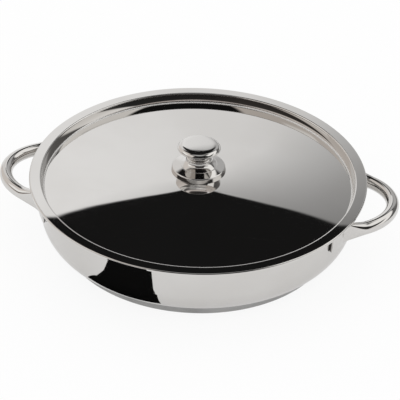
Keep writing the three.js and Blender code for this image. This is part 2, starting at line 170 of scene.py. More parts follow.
class RoundPanKnob(bpy.types.PropertyGroup):
    """Sizes of the turned knob and of what holds it on the lid."""

    sheet: length("Sheet", "Wall of the hollow pieces", 0.0008)
    ease: length("Ease", "Rounding of the sheets' edges", 0.0003)
    foot: length("Foot", "Radius of the foot on the lid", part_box("knob_foot")[1].x)
    foot_top: length("Foot top", "Radius of the foot under the guard", 0.016)
    guard: length("Guard", "Radius of the guard's lower edge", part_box("knob_guard")[1].x)
    guard_rim: length("Guard rim", "Height of the guard's rim", 0.0046)
    guard_lean: length("Guard lean", "Upper edge of the rim inside its lower edge", 0.0007)
    guard_edge: length("Guard edge", "Rounding between the rim and the flare", 0.0012)
    stem: length("Stem", "Radius of the guard's flare under the stem", 0.0163)
    neck: length("Neck", "Radius of the stem's neck", 0.0104)
    collar: length("Collar", "Radius of the collar's beads", 0.0108)
    collar_groove: length("Collar groove", "Depth between the beads", 0.0013)
    head: length("Head", "Radius of the head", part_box("knob_head")[1].x)
    head_neck: length("Head neck", "Radius of the head's underside at the collar", 0.0095)
    head_rim: length("Head rim", "Thickness of the head's rim", 0.0014)
    head_crown: length("Head crown", "Top of the head above its rim", 0.0024)
    head_flatness: number("Head flatness", "Exponent of the head's rounded edge", 14.0, 2.0, 20.0)
    head_edge: number("Head edge", "Part of the crown that falls off at the edge", 0.89, 0.0, 1.0)
    stud: length("Stud", "Radius of the stud", 0.0045)
    stud_flange: length("Stud flange", "Radius of the stud's flange", 0.009)
    stud_flange_height: length("Stud flange height", "Thickness of the stud's flange", 0.0016)
    screw: length("Screw", "Radius of the screw's shank", 0.0022)
    screw_head: length("Screw head", "Radius of the screw's head", 0.0048)
    screw_edge: length("Screw edge", "Straight edge of the screw's head", 0.0012)
    fastener_ease: length("Fastener ease", "Rounding of the fasteners' edges", 0.0002)
    slot_width: length("Slot width", "Width of the cross in the screw's head", 0.0012)
    slot_length: length("Slot length", "Length of the cross in the screw's head", 0.0052)
    slot_depth: length("Slot depth", "Depth of the cross in the screw's head", 0.0015)


class RoundPanFinish(bpy.types.PropertyGroup):
    """Colours of the metals."""

    polish: colour("Polished steel", "Mirror polished stainless steel", (0.665, 0.652, 0.636))
    polish_low: colour("Polished steel, dull", "Where the polish is a little duller", (0.635, 0.620, 0.602))
    satin: colour("Satin steel", "Turned cap of the base", (0.47, 0.466, 0.46))
    satin_low: colour("Satin steel, dark", "Grooves of the turned cap", (0.35, 0.347, 0.342))
    # The seam colour is painted shade: the dark of the gaps along the cap's top and where the handles' tabs
    # meet the wall.
    seam: colour("Seam", "Dark line along the cap and at the welds", (0.05, 0.048, 0.045))
    aluminium: colour("Aluminium", "Core of the base", (0.62, 0.63, 0.64))
    aluminium_low: colour("Aluminium, dull", "Rolled marks of the core", (0.52, 0.53, 0.54))
    fastener: colour("Fastener", "Plain bright steel", (0.56, 0.555, 0.55))
    fastener_low: colour("Fastener, dull", "Tool marks on the fasteners", (0.44, 0.435, 0.43))


class RoundPanStage(bpy.types.PropertyGroup):
    """Camera and studio."""

    azimuth: turn("Azimuth", "Camera round the pan, towards the right handle", 7.35)
    elevation: turn("Elevation", "Camera above the flange", 33.34)
    distance: length("Distance", "Camera from the middle of the flange", 1.9378)
    pan: turn("Pan", "Camera turned sideways from the middle of the flange", -0.063)
    tilt: turn("Tilt", "Camera turned down from the middle of the flange", 0.653)
    roll: turn("Roll", "Camera rolled about its own axis", 1.736)
    lens: bpy.props.FloatProperty(
        name="Lens", description="Focal length in millimetres", default=198.0, min=10.0, unit="CAMERA",
    )
    backdrop_top: turn("Backdrop top", "Upper edge of the white backdrop behind the pan", 34.455)
    floor: colour("Floor", "Pale floor", (0.93, 0.93, 0.93))


def chosen(label):
    """One of the scene's groups of sizes or colours."""
    return getattr(bpy.context.scene, f"round_pan_{label}")


# Profiles, as lists of points with a radius and a height

def at(across, up):
    """Point of a profile or of a plan."""
    return Vector((across, up))


def arc(centre, radius, start, end, step=ARC_STEP):
    """Points of an arc, angles in radians."""
    count = max(2, math.ceil(abs(end - start) / step))
    angles = [start + (end - start) * i / count for i in range(count + 1)]
    return [at(centre[0] + radius * math.cos(a), centre[1] + radius * math.sin(a)) for a in angles]


def offset(line, distance):
    """Line moved to the left of its direction. A point on the axis stays on it."""
    moved = []
    for i, here in enumerate(line):
        into = (here - line[i - 1] if i > 0 else line[1] - here).normalized()
        out = (line[i + 1] - here if i + 1 < len(line) else here - line[i - 1]).normalized()
        normal = at(-(into.y + out.y), into.x + out.x).normalized()
        normal /= max(normal.dot(at(-into.y, into.x)), LEAST_MITRE)
        point = here + normal * distance
        if here.x == 0.0:
            point.x = 0.0
        moved.append(point)
    return moved


def sheet(line, thickness):
    """Closed outline of a sheet whose one face is the line."""
    return line + offset(line, thickness)[::-1]


def eased(corners, radius):
    """Closed outline whose sharp corners off the axis are rounded."""
    outline = []
    count = len(corners)
    for i, here in enumerate(corners):
        before = corners[i - 1] - here
        after = corners[(i + 1) % count] - here
        bend = math.pi - before.angle(after, math.pi)
        if here.x == 0.0 or bend < CREASE_ANGLE:
            outline.append(here)
            continue
        longest = EASED_SHARE * min(before.length, after.length)
        reach = min(radius * math.tan(bend / 2), longest)
        start = here + before.normalized() * reach
        end = here + after.normalized() * reach
        pieces = max(2, math.ceil(bend / EASED_STEP))
        for k in range(pieces + 1):
            t = k / pieces
            outline.append(start * (1 - t) ** 2 + here * 2 * t * (1 - t) + end * t ** 2)
    return outline


def bends(outline, i):
    """True where the outline turns by more than a slight angle at a point."""
    here = outline[i % len(outline)]
    ahead = outline[(i + 1) % len(outline)]
    return (here - outline[i - 1]).angle(ahead - here, math.pi) > SLIGHT_BEND


def supported(outline):
    """Outline with a point just inside each bent end of its long stretches, which keeps flats flat."""
    points = []
    for i, here in enumerate(outline):
        ahead = outline[(i + 1) % len(outline)]
        points.append(here)
        along = ahead - here
        if along.length > LONG_STRETCH and bends(outline, i):
            points.append(here + along.normalized() * SUPPORT)
        if along.length > LONG_STRETCH and bends(outline, i + 1):
            points.append(ahead - along.normalized() * SUPPORT)
    return points


def radians(degrees):
    """Several angles in radians."""
    return [math.radians(a) for a in degrees]


# Node helpers

class Step:
    """Output of a node, from which nodes grow as from a number. Brackets give another output."""

    def __init__(self, tree, outputs, key=0):
        self.tree = tree
        self.outputs = outputs
        self.key = key

    def __getitem__(self, key):
        return Step(self.tree, self.outputs, key)

    def __add__(self, other):
        return calc("ADD", self, other)

    def __sub__(self, other):
        return calc("SUBTRACT", self, other)

    def __rsub__(self, other):
        return calc("SUBTRACT", other, self)

    def __mul__(self, other):
        return calc("MULTIPLY", self, other)

    def __truediv__(self, other):
        return calc("DIVIDE", self, other)

    def __rtruediv__(self, other):
        return calc("DIVIDE", other, self)

    def __abs__(self):
        return calc("ABSOLUTE", self)


def feed(socket, value):
    """Links a step to a socket, or sets the socket's value."""
    if isinstance(value, Step):
        value.tree.links.new(value.outputs[value.key], socket)
    else:
        socket.default_value = value


def fed(tree, socket):
    """Step that a socket is linked to."""
    return Step(tree, [socket.links[0].from_socket])


def add(tree, kind, inputs=None, **options):
    """New node with its options, and with its inputs by name or number."""
    node = tree.nodes.new(kind)
    for key, value in options.items():
        setattr(node, key, value)
    for key, value in (inputs or {}).items():
        feed(node.inputs[key], value)
    return Step(tree, node.outputs)


def calc(operation, *values):
    """Math node in the tree of its first step."""
    tree = next(value.tree for value in values if isinstance(value, Step))
    return add(tree, "ShaderNodeMath", dict(enumerate(values)), operation=operation)


def vector_calc(tree, operation, *values):
    """Vector Math node. SCALE takes its factor second, and LENGTH gives a number."""
    sockets = (0, "Scale") if operation == "SCALE" else (0, 1)
    node = add(tree, "ShaderNodeVectorMath", dict(zip(sockets, values)), operation=operation)
    return node["Value" if operation == "LENGTH" else "Vector"]


def remap(value, low, high, to_low, to_high, kind="SMOOTHSTEP"):
    """Map Range node."""
    inputs = dict(enumerate((value, low, high, to_low, to_high)))
    return add(value.tree, "ShaderNodeMapRange", inputs, interpolation_type=kind)


def blend(factor, first, second):
    """Colour Mix node."""
    return add(factor.tree, "ShaderNodeMix", {0: factor, 6: first, 7: second}, data_type="RGBA")[2]


def noise(spot, scale, detail=2.0, roughness=0.5):
    """Noise texture."""
    inputs = {"Vector": spot, "Scale": scale, "Detail": detail, "Roughness": roughness}
    return add(spot.tree, "ShaderNodeTexNoise", inputs)


def split(spot):
    """X, Y and Z of a place."""
    return add(spot.tree, "ShaderNodeSeparateXYZ", {0: spot})


def from_axis(spot):
    """Distance from the Z axis."""
    flat = vector_calc(spot.tree, "MULTIPLY", spot, (1.0, 1.0, 0.0))
    return vector_calc(spot.tree, "LENGTH", flat)


def rgba(three):
    """Colour of three numbers with full alpha."""
    return (*three, 1.0)


GEOMETRY = "NodeSocketGeometry"
MATERIAL = "NodeSocketMaterial"
WHOLE = "NodeSocketInt"
VALUE = "NodeSocketFloat"
COLOUR = "NodeSocketColor"
VECTOR = "NodeSocketVector"


def new_group(name, kind, inputs, outputs):
    """Node group with named sockets, with its inner inputs and outputs by name."""
    tree = bpy.data.node_groups.new(name, kind)
    for in_out, sockets in (("INPUT", inputs), ("OUTPUT", outputs)):
        for label, socket_type in sockets.items():
            tree.interface.new_socket(label, in_out=in_out, socket_type=socket_type)
    return tree, add(tree, "NodeGroupInput"), tree.nodes.new("NodeGroupOutput").inputs


def group_of(make):
    """Node group of a function that bears its name. It is made once."""
    return bpy.data.node_groups.get(make.__name__) or make()


# Geometry node trees

def start_tree(name, inputs):
    """Geometry tree that takes a finish last and gives a geometry."""
    return new_group(name, "GeometryNodeTree", {**inputs, "Finish": MATERIAL}, {"Geometry": GEOMETRY})


def close_tree(tree, geometry, enter, leave):
    """Realizes the instances and sets the material, as the last nodes of a tree."""
    realize = add(tree, "GeometryNodeRealizeInstances", {"Geometry": geometry})
    paint = add(tree, "GeometryNodeSetMaterial", {"Geometry": realize, "Material": enter["Finish"]})
    feed(leave["Geometry"], paint)
    return tree


def turned_piece():
    """Turns a profile about the Z axis."""
    tree, enter, leave = start_tree("turned_piece", {"Profile": GEOMETRY, "Steps": WHOLE})
    profile = add(tree, "GeometryNodeMeshToCurve", {"Mesh": enter["Profile"]})
    circle = {"Resolution": enter["Steps"], "Radius": SWEEP_RADIUS}
    ring = add(tree, "GeometryNodeCurvePrimitiveCircle", circle)
    sweep = add(tree, "GeometryNodeCurveToMesh", {"Curve": ring, "Profile Curve": profile})
    weld = add(tree, "GeometryNodeMergeByDistance", {"Geometry": sweep, "Distance": WELD})
    return close_tree(tree, weld, enter, leave)


def formed_tube():
    """Tube along a path whose points carry the section's size, squareness and directions."""
    tree, enter, leave = start_tree("formed_tube", {"Path": GEOMETRY, "Sides": WHOLE})

    def stored(name, data_type="FLOAT"):
        return add(tree, "GeometryNodeInputNamedAttribute", {"Name": name}, data_type=data_type)

    def part(direction, half, wave):
        swing = calc(wave, stored("angle"))
        bent = calc("SIGN", swing) * calc("POWER", abs(swing), 2.0 / stored("square"))
        return vector_calc(tree, "SCALE", stored(direction, "FLOAT_VECTOR"), stored(half) * bent)

    path = add(tree, "GeometryNodeMeshToCurve", {"Mesh": enter["Path"]})
    ring = add(tree, "GeometryNodeCurvePrimitiveCircle", {"Resolution": enter["Sides"]})
    angle = add(tree, "GeometryNodeInputIndex") * (2 * math.pi / enter["Sides"])
    marked = {"Geometry": ring, "Name": "angle", "Value": angle}
    section = add(tree, "GeometryNodeStoreNamedAttribute", marked, data_type="FLOAT", domain="POINT")
    swept = {"Curve": path, "Profile Curve": section, "Fill Caps": True}
    sweep = add(tree, "GeometryNodeCurveToMesh", swept)
    reach = vector_calc(tree, "ADD", part("side", "thin", "COSINE"), part("up", "tall", "SINE"))
    spot = vector_calc(tree, "ADD", stored("middle", "FLOAT_VECTOR"), reach)
    form = add(tree, "GeometryNodeSetPosition", {"Geometry": sweep, "Position": spot})
    return close_tree(tree, form, enter, leave)


def cross_recess():
    """Cuts a cross for a screwdriver into the underside of a screw's head."""
    sockets = {"Geometry": GEOMETRY, "Size": VECTOR, "Bottom": VECTOR}
    tree, enter, leave = start_tree("cross_recess", sockets)
    arm = add(tree, "GeometryNodeMeshCube", {"Size": enter["Size"]})
    line = {"Count": 2, "Start Location": enter["Bottom"], "Offset": (0.0, 0.0, 0.0)}
    points = add(tree, "GeometryNodeMeshLine", line)
    quarter = add(tree, "ShaderNodeCombineXYZ", {"Z": add(tree, "GeometryNodeInputIndex") * (math.pi / 2)})
    copies = {"Points": points, "Instance": arm, "Rotation": quarter}
    arms = add(tree, "GeometryNodeInstanceOnPoints", copies)
    cross = add(tree, "GeometryNodeRealizeInstances", {"Geometry": arms})
    cut = add(tree, "GeometryNodeMeshBoolean", {0: enter["Geometry"], 1: cross}, operation="DIFFERENCE")
    return close_tree(tree, cut, enter, leave)


def linked(name, data):
    """New object in the scene."""
    made = bpy.data.objects.new(name, data)
    bpy.context.scene.collection.objects.link(made)
    return made


def grown(source, make, **inputs):
    """Clean, plain mesh of a source mesh after a node tree, whose inputs are given by name."""
    tree = group_of(make)
    holder = linked(source.name, source)
    modifier = holder.modifiers.new(tree.name, "NODES")
    modifier.node_group = tree
    sockets = {item.name: item.identifier for item in tree.interface.items_tree if item.in_out == "INPUT"}
    for label, value in inputs.items():
        modifier[sockets[label]] = value
    graph = bpy.context.evaluated_depsgraph_get()
    mesh = bpy.data.meshes.new_from_object(holder.evaluated_get(graph))
    holder.modifiers.remove(modifier)
    bpy.data.objects.remove(holder)
    clean(mesh)
    return mesh


def clean(mesh):
    """Closes seams and poles, turns the faces outwards and shades smooth between the creases."""
    work = bmesh.new()
    work.from_mesh(mesh)
    bmesh.ops.remove_doubles(work, verts=work.verts, dist=WELD)
    bmesh.ops.dissolve_degenerate(work, edges=work.edges, dist=SLIVER)
    bmesh.ops.recalc_face_normals(work, faces=work.faces)
    for face in work.faces:
        face.smooth = True
    work.to_mesh(mesh)
    work.free()
    mesh.set_sharp_from_angle(angle=CREASE_ANGLE)


def turned_mesh(name, outline, steps, finish):
    """Mesh of a closed profile turned about the Z axis."""
    points = supported(outline)
    count = len(points)
    profile = bpy.data.meshes.new(name)
    edges = [(i, (i + 1) % count) for i in range(count)]
    profile.from_pydata([(p.x - SWEEP_RADIUS, -p.y, 0.0) for p in points], edges, [])
    return grown(profile, turned_piece, Steps=steps, Finish=finish)


SECTION_LABELS = ("angle", "middle", "side", "up", "thin", "tall", "square")


def place(name, mesh, body, node, mirrored=True):
    """Finished piece that rides on a body and stands for a node. Other metal mirrors it or not."""
    for label in SECTION_LABELS:
        if label in mesh.attributes:
            mesh.attributes.remove(mesh.attributes[label])
    piece = linked(name, mesh)
    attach(piece, body)
    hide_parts(node)
    piece.visible_glossy = mirrored


# Shader node groups

PATCH_RANGE = (0.35, 0.7)
HAZE_RANGE = (0.3, 0.75)
DRIFT_SCALE = 18.0
GROOVE_RANGE = (0.38, 0.62)
BAND_RANGE = (0.4, 1.0)
WIPING_ANGLES = (20, 75, 140)
WIPING_STRETCH = (1.0, 60.0, 1.0)
SCRATCH_RANGE = (0.72, 0.78)


def shader_group(name, inputs, outputs):
    """Shader group that takes a place first."""
    return new_group(name, "ShaderNodeTree", {"Vector": VECTOR, **inputs}, outputs)


def metal_tone():
    """Slow change between two tones of a metal."""
    sockets = {"Bright": COLOUR, "Dull": COLOUR, "Scale": VALUE}
    tree, enter, leave = shader_group("metal_tone", sockets, {"Color": COLOUR})
    patch = noise(enter["Vector"], enter["Scale"], detail=3.0)
    factor = remap(patch, *PATCH_RANGE, 0.0, 1.0)
    feed(leave["Color"], blend(factor, enter["Bright"], enter["Dull"]))
    return tree


def polish_haze():
    """Roughness that wanders between clear and hazy polish."""
    sockets = {"Clear": VALUE, "Hazy": VALUE, "Scale": VALUE}
    tree, enter, leave = shader_group("polish_haze", sockets, {"Roughness": VALUE})
    cloud = noise(enter["Vector"], enter["Scale"], detail=5.0, roughness=0.6)
    feed(leave["Roughness"], remap(cloud, *HAZE_RANGE, enter["Clear"], enter["Hazy"], "LINEAR"))
    return tree


def turned_rings():
    """Fine grooves that run round the Z axis, as a lathe or a polishing wheel leaves them."""
    sockets = {"Rings per metre": VALUE, "Wander": VALUE}
    tree, enter, leave = shader_group("turned_rings", sockets, {"Height": VALUE, "Groove": VALUE})
    spot = enter["Vector"]
    along = from_axis(spot) + split(spot)["Z"] + noise(spot, DRIFT_SCALE) * enter["Wander"]
    inputs = {"W": along, "Scale": enter["Rings per metre"], "Detail": 3.0}
    grooves = add(tree, "ShaderNodeTexNoise", inputs, noise_dimensions="1D")
    feed(leave["Height"], grooves)
    feed(leave["Groove"], remap(grooves, *GROOVE_RANGE, 1.0, 0.0))
    return tree


def ring_band():
    """Band round the Z axis at a radius, soft at its edges."""
    tree, enter, leave = shader_group("ring_band", {"Radius": VALUE, "Half width": VALUE}, {"Mask": VALUE})
    off = abs(from_axis(enter["Vector"]) - enter["Radius"])
    feed(leave["Mask"], remap(off / enter["Half width"], *BAND_RANGE, 1.0, 0.0))
    return tree


def wiping_scratches():
    """Hair-fine wiping scratches that cross each other."""
    tree, enter, leave = shader_group("wiping_scratches", {"Scale": VALUE}, {"Scratch": VALUE})
    lines = 0.0
    for angle in radians(WIPING_ANGLES):
        stretch = {"Vector": enter["Vector"], "Rotation": (0.0, 0.0, angle), "Scale": WIPING_STRETCH}
        streak = noise(add(tree, "ShaderNodeMapping", stretch), enter["Scale"])
        lines = calc("MAXIMUM", lines, remap(streak, *SCRATCH_RANGE, 0.0, 1.0))
    feed(leave["Scratch"], lines)
    return tree


# Finishes

POLISH_PATCHES = 14.0
POLISH_CLOUDS = 55.0
SCRATCH_SCALE = 9.0
SCRATCH_ROUGHNESS = 0.03
RING_WANDER = 0.0004
RING_PATCHES = 30.0
RING_CLOUDS = 70.0
GROOVE_TONE = 0.45
GROOVE_ROUGHNESS = 0.08
CREASE_SHARE = 0.4
CREASE_ROUGHNESS = 0.4
CREASE_METAL = 0.25
# Painted shade where the handles' tab ends meet the wall: its tone, and its reach from the end and from the
# wall.
TAB_GAP_SHADE_TONE = 0.96
TAB_GAP_SHADE_FROM_END = (0.0032, 0.0016)
TAB_GAP_SHADE_FROM_WALL = (0.0013, 0.0018)
# Painted shade in the gap above the cap: its tone, and its reach below the cap's top.
CAP_GAP_SHADE_TONE = 0.85
CAP_GAP_SHADE_FROM_TOP = (0.0011, 0.0006)
LONG_RAY = 0.02


def effect(spot, make, **values):
    """Shader group at a place. In the names of its inputs _ stands for a space."""
    inputs = {label.replace("_", " "): value for label, value in values.items()}
    return add(spot.tree, "ShaderNodeGroup", {"Vector": spot, **inputs}, node_tree=group_of(make))


def new_material(name):
    """Material with nodes, and its node tree."""
    material = bpy.data.materials.new(name)
    material.use_nodes = True
    return material, material.node_tree


def metal(name):
    """Metal material, the inputs of its shader, and Object coordinates."""
    material, tree = new_material(name)
    shader = tree.nodes["Principled BSDF"].inputs
    shader["Metallic"].default_value = 1.0
    return material, shader, add(tree, "ShaderNodeTexCoord")["Object"]


def toned(spot, metal_name, scale):
    """Tone that changes slowly between a metal's two colours, and the dull one."""
    bright = rgba(getattr(chosen("finish"), metal_name))
    dull = rgba(getattr(chosen("finish"), f"{metal_name}_low"))
    return effect(spot, metal_tone, Scale=scale, Bright=bright, Dull=dull), dull


def bump(height, distance):
    """Bump node of a height."""
    inputs = {"Strength": 1.0, "Distance": distance, "Height": height}
    return add(height.tree, "ShaderNodeBump", inputs)


def polished(name, waves, depth, clear=0.03, hazy=0.07):
    """Mirror polished steel with slight waves, haze and wiping scratches."""
    material, shader, spot = metal(name)
    tone, _ = toned(spot, "polish", POLISH_PATCHES)
    haze = effect(spot, polish_haze, Clear=clear, Hazy=hazy, Scale=POLISH_CLOUDS)
    scratch = effect(spot, wiping_scratches, Scale=SCRATCH_SCALE)
    feed(shader["Base Color"], tone)
    feed(shader["Roughness"], haze + scratch * SCRATCH_ROUGHNESS)
    feed(shader["Normal"], bump(noise(spot, waves, detail=1.0), depth))
    return material, shader, spot


def ringed(name, metal_name, rings, depth, clear, hazy):
    """Metal with turned rings, darker and rougher in the grooves."""
    material, shader, spot = metal(name)
    tone, dull = toned(spot, metal_name, RING_PATCHES)
    haze = effect(spot, polish_haze, Clear=clear, Hazy=hazy, Scale=RING_CLOUDS)
    ring = effect(spot, turned_rings, Rings_per_metre=rings, Wander=RING_WANDER)
    feed(shader["Base Color"], blend(ring["Groove"] * GROOVE_TONE, tone, dull))
    feed(shader["Roughness"], haze + ring["Groove"] * GROOVE_ROUGHNESS)
    feed(shader["Normal"], bump(ring["Height"], depth))
    return material, shader, spot


def darken(shader, mask):
    """Paints shade into a finish: the seam's dark colour where a mask says so, standing for the shade in a
    gap between parts.
    """
    tone = fed(mask.tree, shader["Base Color"])
    feed(shader["Base Color"], blend(mask, tone, rgba(chosen("finish").seam)))


def lid_finish():
    """Polish of the lid, which stays pale and dull in the crease where the buff doesn't reach."""
    material, shader, spot = polished("lid_polish", waves=24.0, depth=0.000006, clear=0.008, hazy=0.014)
    size = chosen("lid")
    crease = crease_arc(size, shoulder_arc(size)[-1])
    middle = (crease[0].x + crease[-1].x) / 2
    half = (crease[0].x - crease[-1].x) * CREASE_SHARE
    mask = effect(spot, ring_band, Radius=middle, Half_width=half)
    feed(shader["Roughness"], fed(spot.tree, shader["Roughness"]) + mask * CREASE_ROUGHNESS)
    feed(shader["Metallic"], remap(mask, 0.0, 1.0, 1.0, CREASE_METAL, "LINEAR"))
    return material


def handle_finish():
    """Polish of the handles, with painted shade in the gap where the welded ends meet the wall."""
    material, shader, spot = polished("handle_polish", waves=40.0, depth=0.000004)
    pan = chosen("body")
    axes = split(spot)
    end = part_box("right_handle")[1].y
    # Painted shade: the tab's end darkens next to the wall, standing for the shadow in the gap.
    gap_shade_at_end = remap(abs(axes["Y"]), end - TAB_GAP_SHADE_FROM_END[0], end - TAB_GAP_SHADE_FROM_END[1], 0.0, TAB_GAP_SHADE_TONE)
    wall = axes["Z"] * math.tan(pan.draft) + wall_outside(pan, 0.0)
    darken(shader, gap_shade_at_end * remap(from_axis(spot) - wall, *TAB_GAP_SHADE_FROM_WALL, 1.0, 0.0))
    return material


def knob_finish():
    """Polish of the knob. Long mirror rays pass it, so that the lid's panel shows the studio alone."""
    material, _, spot = polished("knob_polish", waves=60.0, depth=0.000002, hazy=0.06)
    tree = spot.tree
    ray = add(tree, "ShaderNodeLightPath")
    far = calc("GREATER_THAN", ray["Ray Length"], LONG_RAY)
    passed = calc("GREATER_THAN", ray["Transparent Depth"], 0.5)
    let_by = calc("MAXIMUM", far, passed) * ray["Is Glossy Ray"]
    surface = tree.nodes["Material Output"].inputs["Surface"]
    clear = add(tree, "ShaderNodeBsdfTransparent")
    feed(surface, add(tree, "ShaderNodeMixShader", {0: let_by, 1: fed(tree, surface), 2: clear}))
    return material


def base_finish():
    """Turned satin of the cap, with painted shade along the seam under the wall, where the gap to the body
    lies in shade.
    """
    look = {"rings": 2600.0, "depth": 0.00002, "clear": 0.24, "hazy": 0.34}
    material, shader, spot = ringed("base_satin", "satin", **look)
    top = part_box("base_cap")[1].z
    height = split(spot)["Z"]
    # Painted shade: a dark line just under the cap's top, standing for the shadow in the gap to the body.
    darken(shader, remap(height, top - CAP_GAP_SHADE_FROM_TOP[0], top - CAP_GAP_SHADE_FROM_TOP[1], 0.0, CAP_GAP_SHADE_TONE))
    return material


# Body and base

def lip_start(size):
    """Height at which the wall turns into the lip."""
    return size.rim - (size.lip + size.sheet) * math.sin(size.lip_turn)


def wall_outside(size, z):
    """Outside radius of the straight wall at a height."""
    return size.mouth / 2 + size.sheet - (lip_start(size) - z) * math.tan(size.draft)


def corner_centre(size):
    """Centre of the rounded corner, in the profile."""
    height = size.floor_under + size.corner
    return at(wall_outside(size, height) - size.corner / math.cos(size.draft), height)


def body_outline(size):
    """Floor, rounded corner, straight wall and flared lip."""
    corner = arc(corner_centre(size), size.corner, -math.pi / 2, -size.draft, FINE_ARC_STEP)
    start = lip_start(size)
    lip_centre = (wall_outside(size, start) + size.lip, start)
    lip = arc(lip_centre, size.lip, math.pi - size.draft, math.pi - size.lip_turn)
    return sheet([at(0.0, size.floor_under)] + corner + lip, size.sheet)


def cap_line(size):
    """Outside of the cap: flat face, rounded edge, side that leans out to the seam."""
    centre = corner_centre(size)
    seam_rise = math.sqrt(size.corner ** 2 - size.cap_overhang ** 2)
    seam = at(centre.x + size.cap_overhang, centre.y - seam_rise)
    edge_centre = at(seam.x - size.cap_taper, size.cap_edge)
    reach = seam - edge_centre
    lean = math.atan2(reach.y, reach.x) - math.acos(size.cap_edge / reach.length)
    return [at(0.0, 0.0)] + arc(edge_centre, size.cap_edge, -math.pi / 2, lean) + [seam]


def cut_at_corner(size, line):
    """Line whose last stretch ends at the seat gap below the rounded corner."""
    before, last = line[-2:]
    along = (last - before).normalized()
    back = before - corner_centre(size)
    nearest = -back.dot(along)
    half_chord = math.sqrt(nearest ** 2 - back.length_squared + (size.corner + size.seat) ** 2)
    return line[:-1] + [before + along * (nearest - half_chord)]


def cap_outline(size):
    """Steel cap under the base."""
    line = cap_line(size)
    return cut_at_corner(size, line) + cut_at_corner(size, offset(line, size.cap_sheet))[::-1]


def core_outline(size):
    """Aluminium core between the cap and the body."""
    under = cut_at_corner(size, offset(cap_line(size), size.cap_sheet + size.seat))
    centre = corner_centre(size)
    edge = under[-1] - centre
    corner = arc(centre, size.corner + size.seat, math.atan2(edge.y, edge.x), -math.pi / 2)
    return under + corner[1:] + [at(0.0, size.floor_under - size.seat)]


# Handles

def handle_height(pan, size):
    """Height of the tube's middle at the wall."""
    return lip_start(pan) - size.tab_below_lip - size.tab_height / 2


def handle_half(pan, size):
    """Stations of half a handle: place in plan, flatness and distance from the tab's end."""
    wall = wall_outside(pan, handle_height(pan, size))
    loop_centre = wall + size.reach - size.depth
    tab_radius = wall + pan.seat + size.tab_thickness / 2

    def loop_angle(x):
        return math.acos((x - loop_centre) / size.depth)

    def loop_point(t):
        return at(loop_centre + size.depth * math.cos(t), size.half_width * math.sin(t))

    root = loop_point(loop_angle(wall))
    tab_end = math.atan2(root.y, root.x) + (size.tab_run + size.tab_flat) / tab_radius

    def tab_point(s):
        angle = tab_end - s / tab_radius
        return at(tab_radius * math.cos(angle), tab_radius * math.sin(angle))

    stations = []
    for i in range(TAB_CORNER_STEPS + 1):
        s = size.tab_corner * (1 - math.cos(math.pi / 2 * i / TAB_CORNER_STEPS))
        stations.append((tab_point(s), 1.0, s))
    for i in range(1, TAB_FLAT_STEPS):
        s = size.tab_corner + (size.tab_flat - size.tab_corner) * i / TAB_FLAT_STEPS
        stations.append((tab_point(s), 1.0, s))
    flat_end = tab_point(size.tab_flat)
    leg_angle = loop_angle(wall + size.leg_gap + size.tube / 2)
    leg_start = loop_point(leg_angle)
    pull = (leg_start - flat_end).length / 3
    along_wall = (tab_point(size.tab_flat + pull) - flat_end).normalized()
    along_leg = at(-size.depth * math.sin(leg_angle), size.half_width * math.cos(leg_angle)).normalized()
    controls = (flat_end, flat_end + along_wall * pull, leg_start + along_leg * pull, leg_start)
    for i in range(BEND_STEPS + 1):
        t = i / BEND_STEPS
        weights = ((1 - t) ** 3, 3 * t * (1 - t) ** 2, 3 * t * t * (1 - t), t ** 3)
        plan = sum((c * w for c, w in zip(controls, weights)), at(0.0, 0.0))
        stations.append((plan, 1 - t * t * (3 - 2 * t), size.tab_flat))
    for i in range(1, LOOP_STEPS + 1):
        stations.append((loop_point(leg_angle * (1 - i / LOOP_STEPS)), 0.0, size.tab_flat))
    return stations


def handle_path(pan, size, side_sign):
    """Mesh line along the handle on one side, whose points carry the tube's section."""
    half = handle_half(pan, size)
    stations = half + [(at(p.x, -p.y), flat, s) for p, flat, s in half[-2::-1]]
    height = handle_height(pan, size)
    wall = wall_outside(pan, height)
    middles = []
    for plan, _, _ in stations:
        rise = max(plan.x - wall, 0.0) * math.tan(size.rise)
        middles.append(Vector((side_sign * plan.x, side_sign * plan.y, height + rise)))
    vectors = {"middle": middles, "side": [], "up": []}
    numbers = {"thin": [], "tall": [], "square": []}
    for i, (_, flat, s) in enumerate(stations):
        along = (middles[min(i + 1, len(middles) - 1)] - middles[max(i - 1, 0)]).normalized()
        outward = Vector((middles[i].x, middles[i].y, 0.0)).normalized()
        up = Vector((0.0, 0.0, 1.0)) + outward * math.tan(pan.draft) * flat
        up = (up - along * up.dot(along)).normalized()
        in_corner = 1 - min(s / size.tab_corner, 1.0)
        cut = size.tab_corner * (1 - math.sqrt(1 - in_corner ** 2))
        vectors["side"].append(along.cross(up))
        vectors["up"].append(up)
        numbers["thin"].append((size.tube + (size.tab_thickness - size.tube) * flat) / 2)
        numbers["tall"].append((size.tube + (size.tab_height - size.tube) * flat) / 2 - cut)
        numbers["square"].append(2.0 + (size.tab_square - 2.0) * flat)
    mesh = bpy.data.meshes.new("handle_path")
    mesh.from_pydata(middles, [(i, i + 1) for i in range(len(middles) - 1)], [])
    for label, items in vectors.items():
        attribute = mesh.attributes.new(label, "FLOAT_VECTOR", "POINT")
        attribute.data.foreach_set("vector", [c for item in items for c in item])
    for label, items in numbers.items():
        mesh.attributes.new(label, "FLOAT", "POINT").data.foreach_set("value", items)
    return mesh


# Lid

def wall_slopes(size):
    """Slope of the recess's wall at its top and at its foot."""
    return [math.tan(size.recess_draft + sign * size.wall_hollow) for sign in (-1, 1)]


def shoulder_arc(size):
    """Rounding from the flange down into the recess."""
    centre = (size.recess + size.shoulder, size.flange - size.shoulder)
    return arc(centre, size.shoulder, math.pi / 2, math.pi - size.recess_draft + size.wall_hollow)


